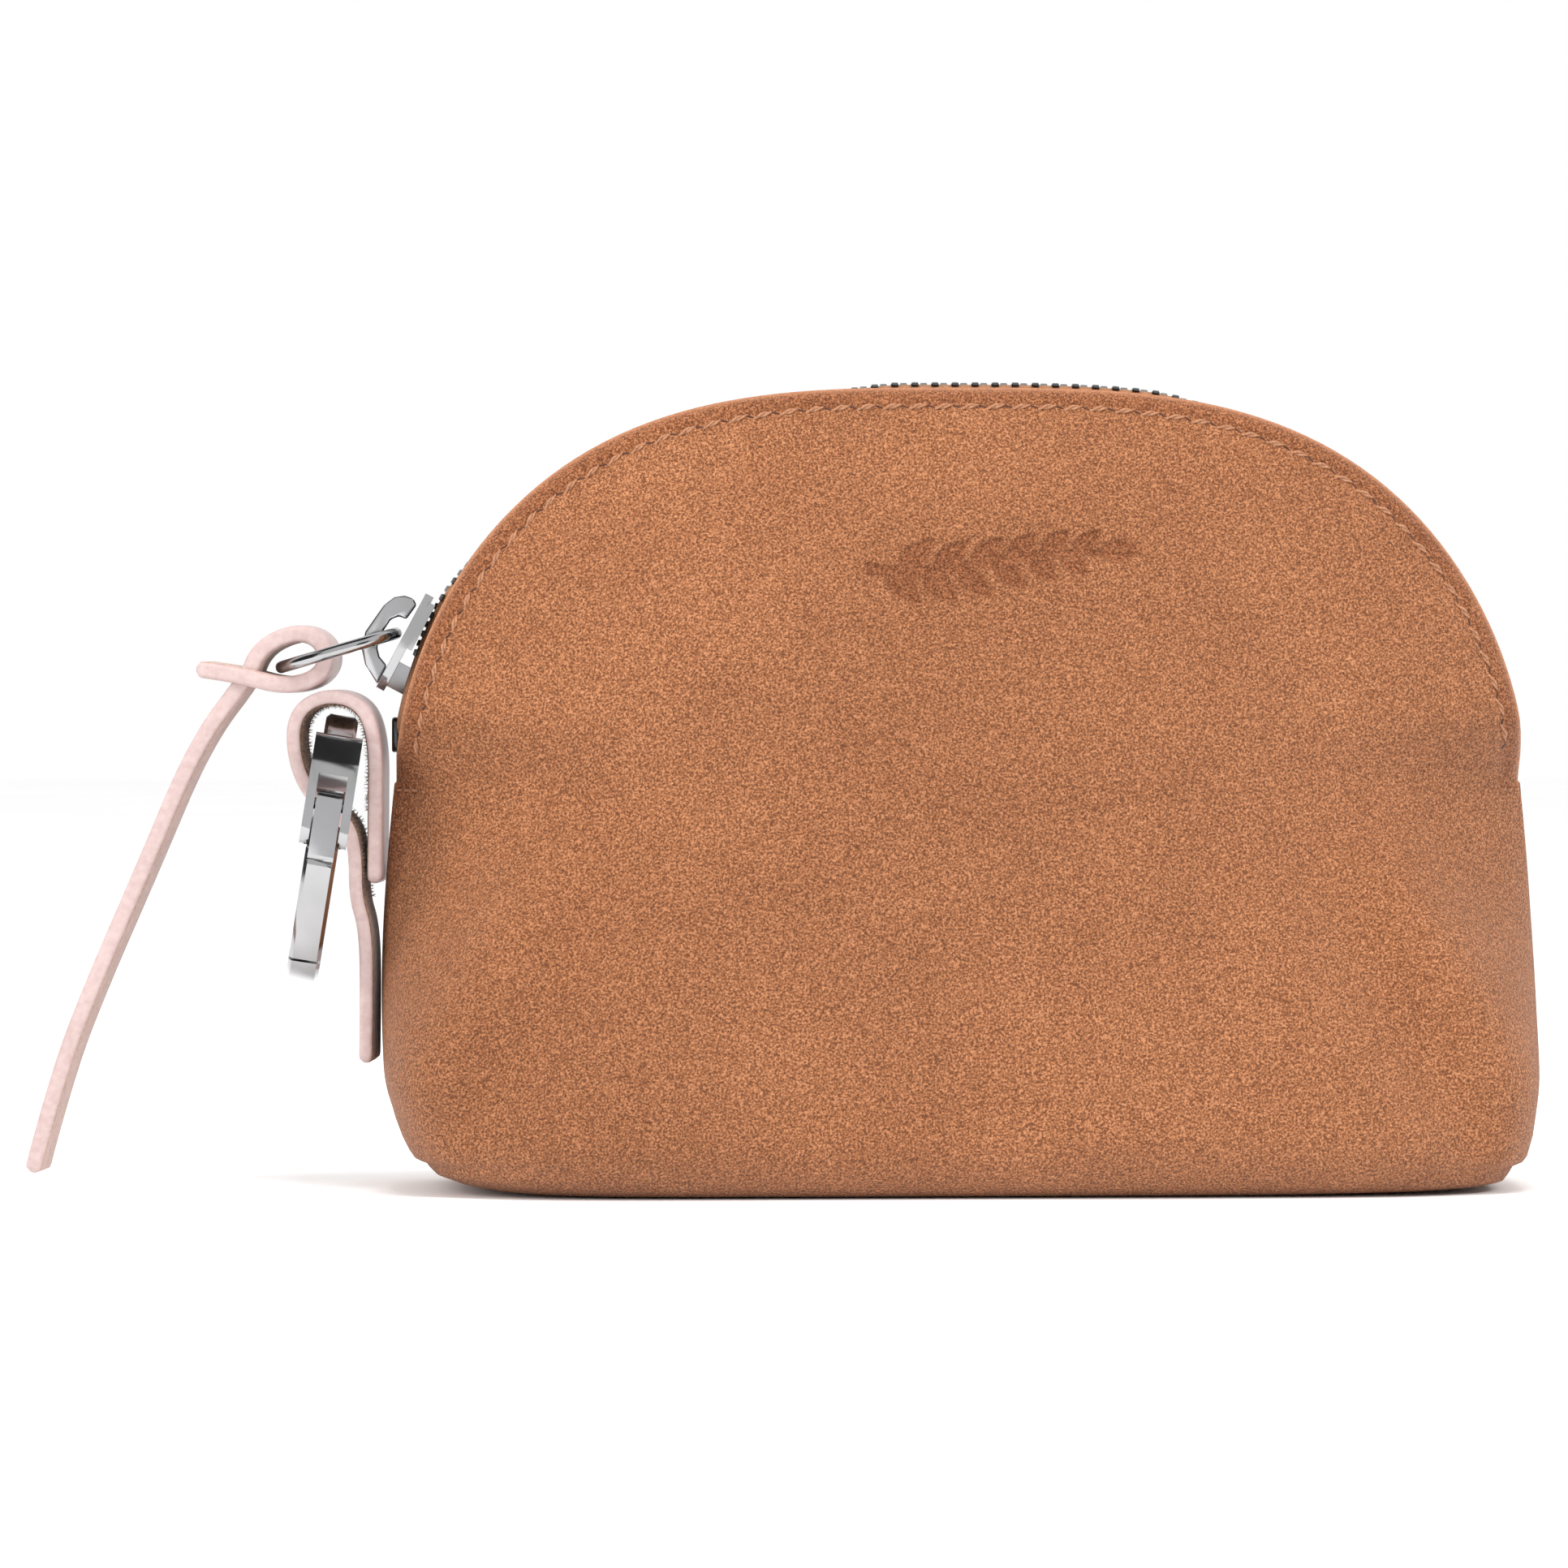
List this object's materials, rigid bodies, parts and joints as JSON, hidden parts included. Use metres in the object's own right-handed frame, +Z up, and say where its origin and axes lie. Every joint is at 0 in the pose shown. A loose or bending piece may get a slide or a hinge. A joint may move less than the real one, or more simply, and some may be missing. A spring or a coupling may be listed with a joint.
{
  "type": "zippered pouch",
  "caption": "Half-moon leather pouch with an arched metal zip, a leather pull strap on a wire ring, and a sprung key ring hanging from a side loop",
  "frame": {"origin": "the middle of the flat base", "axes": "X to the right along the longest side, Y to the back panel, Z up; the slider rests at the -X end"},
  "size_m": [0.1875, 0.0544, 0.1001],
  "materials": {
    "leather": "tan nubuck with a fine pebbled grain",
    "lining": "matt woven",
    "board": "matt fibre board",
    "tape": "herringbone zip tape",
    "dark_metal": "polished gunmetal plating",
    "pink_leather": "smooth with painted edges",
    "thread": "twisted thread"
  },
  "bodies": {
    "pouch": {"front_panel": "leather", "back_panel": "leather", "body_lining": "lining", "base_stiffener": "board", "zip_end_clip": "dark_metal", "key_loop": "pink_leather", "loop_stitches": "thread"},
    "front_side": {"front_leaf": "leather", "front_leaf_lining": "lining", "front_tape": "tape", "front_teeth": "dark_metal", "front_stitches": "thread"},
    "back_side": {"back_leaf": "leather", "back_leaf_lining": "lining", "back_tape": "tape", "back_teeth": "dark_metal", "back_stitches": "thread"},
    "slider": {"slider_body": "dark_metal", "slider_hook": "dark_metal"},
    "pull_link": {"pull_ring": "dark_metal"},
    "pull": {"pull_strap": "pink_leather"},
    "key_ring": {"ring_frame": "dark_metal", "gate_pin": "dark_metal", "gate_spring": "dark_metal"},
    "gate": {"ring_gate": "dark_metal"}
  },
  "joints": [
    {"name": "slider_travel", "type": "hinge", "parent": "pouch", "child": "slider", "pos_m": [0, 0, 0.025], "axis": [0, 1, 0], "range_deg": [0, 116], "deforming": ["front_teeth", "back_teeth", "front_tape", "back_tape"]},
    {"name": "front_opens", "type": "hinge", "parent": "pouch", "child": "front_side", "pos_m": [0, -0.02237, 0.05], "axis": [1, 0, 0], "range_deg": [0, 20.5]},
    {"name": "back_opens", "type": "hinge", "parent": "pouch", "child": "back_side", "pos_m": [0, 0.02237, 0.05], "axis": [-1, 0, 0], "range_deg": [0, 20.5]},
    {"name": "pull_ring_swing", "type": "hinge", "parent": "slider", "child": "pull_link", "pos_m": [-0.0701, 0, 0.0687], "axis": [0, 1, 0], "range_deg": [0, 60]},
    {"name": "pull_strap_swing", "type": "hinge", "parent": "pull_link", "child": "pull", "pos_m": [-0.08429, 0, 0.0645], "axis": [0, 1, 0], "range_deg": [0, 8]},
    {"name": "key_ring_swing", "type": "hinge", "parent": "pouch", "child": "key_ring", "pos_m": [-0.0769, 0, 0.0569], "axis": [0, 1, 0], "range_deg": [0, 36]},
    {"name": "gate_opens", "type": "hinge", "parent": "key_ring", "child": "gate", "pos_m": [-0.07837, -0.01391, 0.04763], "axis": [0.9877, 0, -0.1564], "range_deg": [0, 25], "stiffness_Nm_per_rad": 0.02, "springref_deg": -8.59}
  ],
  "couplings": [
    {"joint": "front_opens", "follows": "slider_travel", "ratio": 0.1724},
    {"joint": "back_opens", "follows": "slider_travel", "ratio": 0.1724}
  ]
}
